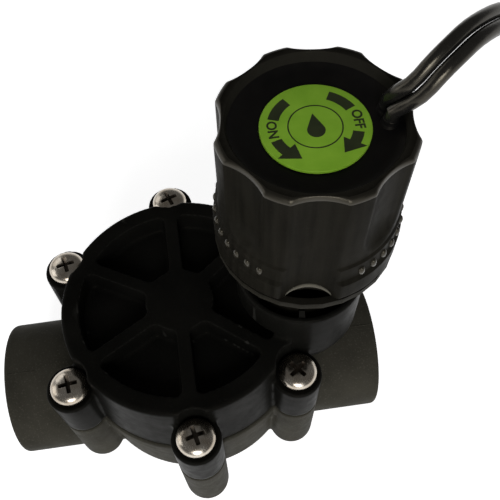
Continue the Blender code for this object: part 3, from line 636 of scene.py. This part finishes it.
def build_parting_lines():
    """Fine raised moulding line along the top of each port."""
    for label, side in (("inlet", -1), ("outlet", 1)):
        angle = math.radians(81)
        out = Vector((0, -math.cos(angle), math.sin(angle)))
        start, end = side * (HALF_LENGTH - 9.5 * MM), side * (HALF_LENGTH - 1.2 * MM)
        places = [Vector((start + (end - start) * i / 12, 0, AXIS_Z)) + out * PORT_R
                  for i in range(13)]
        tube(f"{label}_parting_line", places, 0.14 * MM, MATERIALS["body_nylon"], 8, "valve")


def build_threads():
    """Female pipe thread just inside each port."""
    around, along = 72, 10
    for side, label in ((-1, "inlet"), (1, "outlet")):
        turn = Matrix.Translation((0, 0, AXIS_Z)) @ Matrix.Rotation(side * math.pi / 2, 4, "Y")
        start, end = HALF_LENGTH - SOCKET_DEPTH, HALF_LENGTH - THREAD_END
        rows = round((end - start) / THREAD_PITCH * along)
        points = []
        for row in range(rows + 1):
            z = start + (end - start) * row / rows
            run_out = min(1, (end - z) / (1.5 * MM))
            for i in range(around):
                phase = (z / THREAD_PITCH + i / around) % 1
                crest = max(0, 1 - abs(phase - 0.5) / 0.42) ** 0.8
                r = THREAD_MAJOR_R + 0.15 * MM - (THREAD_MAJOR_R - THREAD_MINOR_R) * crest * run_out
                flat = polar(r, math.tau * i / around)
                points.append(turn @ Vector((flat.x, flat.y, z)))
        mesh = new_mesh(f"{label}_thread", points, skin(rows + 1, around))
        add(f"{label}_thread", mesh, MATERIALS["body_nylon"], "valve")


def pocket_outline(start, end):
    """Outline of one pocket of the bonnet between two ribs, with round corners."""
    half = RIB_W / 2
    outline = []
    for radius, flip in ((POCKET_R, False), (HUB_R, True)):
        inset = math.asin(half / radius)
        low, high = start + inset, end - inset
        count = 14 if radius == POCKET_R else 6
        angles = [low + (high - low) * i / count for i in range(count + 1)]
        if flip:
            angles.reverse()
        for i, angle in enumerate(angles):
            corner = i in (0, count)
            outline.append((*polar(radius, angle), *((1.6 * MM,) if corner else ())))
    return fillet(outline, closed=True)


def chamber_outline():
    """Outline of the pressure chamber, a circle that the stem's column bites into."""
    reach = (CHAMBER_R ** 2 + SOL_X ** 2 - COLUMN_R ** 2) / (2 * CHAMBER_R * SOL_X)
    start = math.acos(reach)
    corner = polar(CHAMBER_R, start)
    bite = math.atan2(corner.y, corner.x - SOL_X)
    count = 64
    outline = [tuple(polar(CHAMBER_R, start + (math.tau - 2 * start) * i / count))
               for i in range(count + 1)]
    count = 14
    for i in range(1, count):
        out = polar(COLUMN_R, math.tau - bite + (2 * bite - math.tau) * i / count)
        outline.append((SOL_X + out.x, out.y))
    return outline


def build_bonnet():
    low = BONNET_LOW.z
    top = RING_TOP_Z
    disc = fillet([(0, top), (RING_R, top, 0.9 * MM), (31.6 * MM, top - 10 * MM, 1 * MM),
                   (32.3 * MM, low + 1.2 * MM, 0.5 * MM), (32.3 * MM, low, 0.3 * MM), (0, low)])
    solids = [lathe(disc, 160)]
    for _, _, middle in SCREWS:
        lug = fillet([(0, SCREW_SEAT_Z + 0.4 * MM), (LUG_R, SCREW_SEAT_Z + 0.4 * MM, 0.5 * MM),
                      (LUG_R, low + 0.25 * MM, 0.4 * MM), (0, low + 0.25 * MM)])
        solids.append(lathe(lug, 48, (middle.x, middle.y)))
    cup_foot = AXIS_Z + 23.5 * MM
    cup = fillet([(0, CUP_TOP_Z), (CUP_R, CUP_TOP_Z, 0.45 * MM), (CUP_R, AXIS_Z + 36 * MM, 6 * MM),
                  (14.2 * MM, AXIS_Z + 29 * MM, 4 * MM), (9 * MM, cup_foot), (0, cup_foot)], steps=6)
    solids.append(lathe(cup, 96, (SOL_X, 0)))
    angles = sorted(math.atan2(m.y, m.x) % math.tau for _, _, m in SCREWS)
    pairs = zip(angles, [*angles[1:], angles[0] + math.tau])
    cutters = [merged([prism(pocket_outline(a, b), top - POCKET_DEPTH, top + MM, 0.35 * MM)
                       for a, b in pairs])]
    rooms = []
    for _, _, middle in SCREWS:
        room = [(0, top + MM), (SCREW_HEAD_R + 0.6 * MM, top + MM), (SCREW_HEAD_R + 0.6 * MM, SCREW_SEAT_Z),
                (0, SCREW_SEAT_Z)]
        rooms.append(lathe(room, 48, (middle.x, middle.y)))
    cutters.append(merged(rooms))
    inner = CUP_R - 1.5 * MM
    well = [(0, CUP_TOP_Z + MM), (inner + 0.4 * MM, CUP_TOP_Z + MM), (inner, CUP_TOP_Z - 0.8 * MM),
            (inner, CUP_FLOOR_Z), (0, CUP_FLOOR_Z)]
    cutters.append(lathe(well, 96, (SOL_X, 0)))
    cutters.append(prism(chamber_outline(), low - MM, CHAMBER_TOP_Z))
    bonnet = casting("bonnet_moulding", solids, cutters, MATERIALS["bonnet_nylon"])
    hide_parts("bonnet")
    # rib inside the cup, which marks the closed position
    turn = Matrix.Rotation(FLUTE_TURN - math.pi / 2, 2)
    section = [(12.9 * MM, -0.65 * MM), (15.2 * MM, -0.8 * MM), (15.2 * MM, 0.8 * MM),
               (12.9 * MM, 0.65 * MM)]
    outline = [tuple(turn @ Vector(p) + Vector((SOL_X, 0))) for p in section]
    rib = prism(outline, CUP_FLOOR_Z, CUP_TOP_Z - 0.4 * MM)
    add("cup_rib", new_mesh("cup_rib", *rib), MATERIALS["bonnet_nylon"], "valve")


def build_screw_heads():
    """Pan-head cross-recessed screws."""
    high = SCREWS[0][1].z
    seat = SCREW_SEAT_Z + 0.3 * MM
    dome_low = seat + 0.7 * MM
    shank_r = 2.2 * MM
    dome = [(SCREW_HEAD_R * math.sin(t) ** 0.9, dome_low + (high - dome_low) * math.cos(t) ** 0.75)
            for t in [math.pi / 2 * i / 14 for i in range(15)]]
    profile = [*dome, (SCREW_HEAD_R - 0.2 * MM, seat), (shank_r, seat), (shank_r, LUG_END_Z),
               (0, LUG_END_Z)]
    reach, half, corner = 3.1 * MM, 0.6 * MM, 0.25 * MM
    wing = fillet([(-reach, -half, corner), (reach, -half, corner), (reach, half, corner),
                   (-reach, half, corner)], closed=True, steps=2)
    for i, (_, _, middle) in enumerate(SCREWS):
        head = helper("head", new_mesh("head", *lathe(profile, 64)))
        head.data.materials.append(MATERIALS["stainless_steel"])
        tools = []
        for k in range(2):
            points, faces = prism(wing, high - 1.9 * MM, high + MM)
            for p in points[:len(wing)]:
                p.x *= 0.5
                p.y *= 0.75
            tool = helper("tool", new_mesh("tool", points, faces))
            # the recess's cut faces take the dark steel, which is painted shade
            tool.data.materials.append(RECESS_SHADE)
            tool.rotation_euler.z = math.pi / 2 * k
            tools.append(tool)
            subtract(head, tool, "EXACT").material_mode = "TRANSFER"
        soft = head.modifiers.new("soft", "BEVEL")
        soft.width = 0.09 * MM
        soft.segments = 2
        soft.limit_method = "ANGLE"
        soft.angle_limit = math.radians(35)
        mesh = baked(head, *tools)
        turn = Matrix.Rotation(math.radians(SCREW_TURNS[i]), 4, "Z")
        mesh.transform(Matrix.Translation((middle.x, middle.y, 0)) @ turn)
        mesh.name = f"screw_{i + 1}"
        mesh.shade_smooth()
        mesh.set_sharp_from_angle(angle=math.radians(30))
        screw = helper(mesh.name, mesh)
        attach(screw, "valve")
        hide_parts(f"cover_screw_{i + 1}")


# ---------------------------------------------------------------- solenoid
def flute_radius(angle, z, base):
    """Outside radius of the shell at an angle and height, with the flutes taken out."""
    edge = polar(SHELL_R, FLUTE_HALF_ANGLE)
    deep = SHELL_R - FLUTE_DEPTH
    centre = (edge.x ** 2 + edge.y ** 2 - deep ** 2) / (2 * (edge.x - deep))
    radius = centre - deep
    step = math.tau / FLUTES
    index = round((angle - FLUTE_TURN) / step)
    off = angle - FLUTE_TURN - index * step
    front = index % FLUTES == FLUTES - 2
    foot = SHELL_LOW.z - MM if front else FLUTE_FOOT_Z
    if z < foot:
        return base
    fade = 0 if front else max(0, 1 - (z - foot) / FLUTE_RUN_OUT)
    radius -= 2.2 * MM * (1 - math.sqrt(1 - fade * fade))
    inside = radius ** 2 - (centre * math.sin(off)) ** 2
    if inside <= 0:
        return base
    cut = centre * math.cos(off) - math.sqrt(inside)
    # smooth minimum, so that the flute's edges are softly rounded
    blend = 0.12 * MM
    gap = max(0, min(1, 0.5 + (base - cut) / (2 * blend)))
    return base * (1 - gap) + cut * gap - blend * gap * (1 - gap)


def build_shell():
    top, low = SHELL_HIGH.z, SHELL_LOW.z
    skirt = (SHELL_HIGH.x - SHELL_LOW.x) / 2
    band, corner = SHELL_R + BAND_OUT, 0.3 * MM
    outside = fillet([(RIM_R, top), (SHELL_R, top, RIM_BEAD), (SHELL_R, low + 11.9 * MM, corner),
                      (band, low + 11.2 * MM, corner), (band, low + 6.8 * MM, corner),
                      (skirt, low + 5.8 * MM, 0.4 * MM), (skirt, low, 0.7 * MM),
                      (skirt - 1.5 * MM, low)], steps=8)
    fine = [outside[0]]
    for (r0, z0), (r1, z1) in zip(outside, outside[1:]):
        count = max(1, math.ceil(abs(z1 - z0) / (0.9 * MM)))
        fine += [(r0 + (r1 - r0) * i / count, z0 + (z1 - z0) * i / count)
                 for i in range(1, count + 1)]
    steps = 360
    rows = []
    for r, z in fine:
        row = []
        for i in range(steps):
            angle = math.tau * i / steps
            out = flute_radius(angle, z, max(r, SHELL_R))
            if r < SHELL_R:
                out = r - (SHELL_R - out) * max(0, (r - RIM_R) / (SHELL_R - RIM_R))
            # arched notch in the skirt under the front flute
            off = (angle - FRONT + math.pi) % math.tau - math.pi
            arch = math.hypot(off * SHELL_R / ARCH_R, (z - low) / ARCH_H)
            if arch < 1:
                out -= 0.8 * MM * min(1, (1 - arch) * 6)
            flat = polar(out, angle)
            row.append(Vector((SOL_X + flat.x, flat.y, z)))
        rows.append(row)
    for r, z in ((skirt - 1.5 * MM, low), (SHELL_BORE_R, low), (SHELL_BORE_R, top - 0.6 * MM)):
        flats = [polar(r, math.tau * i / steps) for i in range(steps)]
        rows.append([Vector((SOL_X + flat.x, flat.y, z)) for flat in flats])
    mesh = new_mesh("shell_moulding", [p for row in rows for p in row],
                    skin(len(rows), steps, closed=True))
    shell = add("shell_moulding", mesh, MATERIALS["solenoid_nylon"], "solenoid",
                smooth=50)
    # the rim's round edge is polished by handling
    mesh.materials.append(HANDLED)
    for face in mesh.polygons[steps:len(fine) * steps]:
        if face.center.z > top - RIM_BEAD:
            face.material_index = 1
    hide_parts("solenoid_shell")


def build_grip_bumps():
    """Row of small rounded bumps in the band over the skirt, open at the front."""
    half = (BAND_HIGH - BAND_LOW) / 2
    angles = [math.pi * i / 8 for i in range(1, 8)]
    bump = [(0, half), *((BUMP_R * math.sin(t) ** 0.7, half * math.cos(t)) for t in angles), (0, -half)]
    parts = []
    for k in range(360 // BUMP_STEP):
        off = BUMP_STEP * (k + 0.5)
        if abs((off + 180) % 360 - 180) < BUMP_GAP:
            continue
        angle = FRONT + math.radians(off)
        out = polar(SHELL_R + 0.4 * MM, angle)
        turn = Matrix.Translation((SOL_X + out.x, out.y, (BAND_LOW + BAND_HIGH) / 2))
        parts.append(lathe(bump, 12, matrix=turn @ Matrix.Rotation(angle, 4, "Z")))
    # the bumps' lighter nylon is a painted highlight
    mesh = new_mesh("grip_bumps", *merged(parts))
    add("grip_bumps", mesh, POLISHED_HIGHLIT, "solenoid", 180)


def build_cap():
    """Potted top of the solenoid, a shallow dish with a raised meniscus at the wall."""
    low, high, _ = corners("solenoid_cap")
    flat_r, wall, rise = 10.6 * MM, 16.35 * MM, 0.9 * MM
    profile = [(0, high.z)]
    for i in range(9):
        t = i / 8
        profile.append((flat_r + (wall - flat_r) * t, high.z + rise * t ** 4))
    profile += [(wall, low.z), (0, low.z)]
    cap = add("potted_cap", new_mesh("potted_cap", *lathe(profile, 96, (SOL_X, 0))),
              MATERIALS["potting_resin"], "solenoid")
    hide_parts("solenoid_cap")
    for name in "ab":
        low, high, middle = corners(f"lead_bush_{name}")
        top, foot = high.z + 0.3 * MM, low.z - 0.3 * MM
        bush = fillet([(0, top), (BUSH_R, top, 0.12 * MM),
                       (BUSH_R + 0.1 * MM, high.z - 0.6 * MM, 0.3 * MM),
                       (BUSH_R + 0.4 * MM, foot), (0, foot)])
        mesh = new_mesh("gland", *lathe(bush, 32, (middle.x, middle.y)))
        piece = add(f"lead_gland_{name}", mesh, MATERIALS["potting_resin"], "solenoid")
        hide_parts(f"lead_bush_{name}")


def flat_piece(name, outlines, z):
    """Flat printed shapes on the label."""
    parts = [prism([(SOL_X + x, y) for x, y in outline], z, z + LABEL_LINE) for outline in outlines]
    return add(name, new_mesh(name, *merged(parts)), PRINT, "solenoid")


def curved_arrow(start, end, radius, width):
    """Arc from start to end degrees with an arrow head on its end."""
    way = 1 if end > start else -1
    head = way * 24
    angles = [math.radians(start + (end - head - start) * i / 10) for i in range(11)]
    outside = [polar(radius + width / 2, a) for a in angles]
    inside = [polar(radius - width / 2, a) for a in reversed(angles)]
    barb = math.radians(end - head)
    tip = [polar(radius + width * 1.1, barb), polar(radius, math.radians(end)),
           polar(radius - width * 1.1, barb)]
    return [tuple(p) for p in outside + tip + inside]


def build_label():
    low, high, _ = corners("dial_label")
    radius = (high.x - low.x) / 2
    profile = fillet([(0, high.z), (radius, high.z, 0.12 * MM), (radius, low.z), (0, low.z)])
    label = add("label_disc", new_mesh("label_disc", *lathe(profile, 96, (SOL_X, 0))),
                MATERIALS["label_green"], "solenoid")
    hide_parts("dial_label")
    z = high.z - 0.005 * MM
    arrow_r, arrow_w = 7.9 * MM, 2.1 * MM
    arrows = []
    for tail, head in (((122, 160), (196, 242)), ((62, 24), (-18, -60))):
        angles = [math.radians(tail[0] + (tail[1] - tail[0]) * i / 8) for i in range(9)]
        arrows.append([tuple(polar(arrow_r + arrow_w / 2, a)) for a in angles]
                      + [tuple(polar(arrow_r - arrow_w / 2, a)) for a in reversed(angles)])
        arrows.append(curved_arrow(*head, arrow_r, arrow_w))
    flat_piece("dial_arrows", arrows, z)
    outer, inner, top = 5.15 * MM, 4.9 * MM, z + LABEL_LINE
    ring = lathe([(outer, top), (outer, z), (inner, z), (inner, top)], 72, (SOL_X, 0), ring=True)
    add("dial_circle", new_mesh("dial_circle", *ring), PRINT, "solenoid")
    drop = [(0, 3.1 * MM)]
    drop += [tuple(polar(1.7 * MM, math.radians(a)) + Vector((0, -0.9 * MM)))
             for a in range(28, -209, -12)]
    flat_piece("dial_drop", [drop], z)
    for word, x in (("ON", -8 * MM), ("OFF", 8 * MM)):
        curve = bpy.data.curves.new("word", "FONT")
        curve.body = word
        curve.size = 2.6 * MM
        curve.align_x = curve.align_y = "CENTER"
        curve.extrude = LABEL_LINE / 2
        curve.offset = 0.07 * MM
        text = helper("word", curve)
        text.location = (SOL_X + x, 0.4 * MM, z + LABEL_LINE / 2)
        text.rotation_euler.z = -math.pi / 2
        mesh = baked(text)
        mesh.materials.clear()
        add(f"dial_word_{word.lower()}", mesh, PRINT, "solenoid")


def build_notch_brow():
    """Raised edge over the arched notch at the foot of the front flute, worn and paler as a painted
    highlight.
    """
    points = []
    count, sides = 28, 10
    for i in range(count + 1):
        t = math.pi * (0.06 + 0.88 * i / count)
        angle = FRONT + ARCH_R * math.cos(t) / SHELL_R
        z = SHELL_LOW.z + ARCH_H * math.sin(t)
        thick = 0.62 * MM * math.sin(t) ** 0.5
        surface = flute_radius(angle, z, SHELL_R + 0.6 * MM)
        for k in range(sides):
            turn = math.tau * k / sides
            out = polar(surface - 0.15 * MM + thick * math.cos(turn), angle)
            points.append(Vector((SOL_X + out.x, out.y, z + thick * math.sin(turn))))
    faces = skin(count + 1, sides)
    faces += [list(range(sides)), [count * sides + k for k in range(sides)]]
    add("notch_brow", new_mesh("notch_brow", points, faces), WORN_AND_HIGHLIT, "solenoid", 60)


# ---------------------------------------------------------------- the rest
def dress_cad_nodes():
    """Give every CAD node that still shows its own material."""
    for subpart in frame["record"]["subparts"]:
        node = frame["nodes"][subpart["node"]]
        for slot in node.material_slots:
            slot.material = MATERIALS[subpart["material_slot"]]


def squash_springs():
    """Give each of the two springs its own copy of its mesh."""
    for name, joint, lift in (("plunger_spring", "plunger_lift", 1.8 * MM),
                              ("diaphragm_spring", "diaphragm_lift", 6 * MM)):
        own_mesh(frame["nodes"][name])


def build_stage():
    mesh = bpy.data.meshes.new("floor")
    mesh.from_pydata([(-3, -3, 0), (3, -3, 0), (3, 3, 0), (-3, 3, 0)], [], [(0, 1, 2, 3)])
    shader = Shader("floor", Roughness=0.85, Specular_IOR_Level=0.1, Emission_Strength=0.74)
    shader.principled.inputs["Emission Color"].default_value = (1, 1, 1, 1)
    shader.put("Base Color", shader.blend(shader.noise(0.2, 2), (0.88, 0.88, 0.88), (0.9, 0.9, 0.9)))
    floor = add("floor", mesh, shader.material)
    floor.location.z = -0.05 * MM
    world = bpy.data.worlds.new("world")
    world.use_nodes = True
    tree = world.node_tree
    where = tree.nodes.new("ShaderNodeSeparateXYZ")
    fade = tree.nodes.new("ShaderNodeMapRange")
    for key, value in (("From Min", 0.1), ("From Max", 0.3), ("To Min", 0.9), ("To Max", 0.12)):
        fade.inputs[key].default_value = value
    tree.links.new(tree.nodes.new("ShaderNodeTexCoord").outputs["Generated"], where.inputs[0])
    tree.links.new(where.outputs["Z"], fade.inputs["Value"])
    tree.links.new(fade.outputs["Result"], tree.nodes["Background"].inputs["Strength"])
    tree.nodes["Background"].inputs["Color"].default_value = (1, 1, 1, 1)
    scene.world = world
    middle = Vector((0.01, 0, 0.06))
    for name, place, size, power in (("front", (0.05, -0.75, 0.36), 0.4, 0.9),
                                     ("high_front", (-0.05, -0.62, 0.5), 0.3, 2.6),
                                     ("left", (-0.7, 0.1, 0.4), 0.4, 0.8),
                                     ("back", (-0.5, 0.6, 0.5), 0.4, 0.6)):
        data = bpy.data.lights.new(name, "AREA")
        data.size = size
        data.energy = power
        light = bpy.data.objects.new(name, data)
        light.location = place
        light.rotation_euler = (middle - light.location).to_track_quat("-Z", "Y").to_euler()
        scene.collection.objects.link(light)
    scene.view_settings.view_transform = "Standard"


place_camera()
build_leads()
build_body()
build_threads()
build_parting_lines()
build_bonnet()
build_screw_heads()
build_shell()
build_grip_bumps()
build_notch_brow()
build_cap()
build_label()
dress_cad_nodes()
squash_springs()
build_stage()
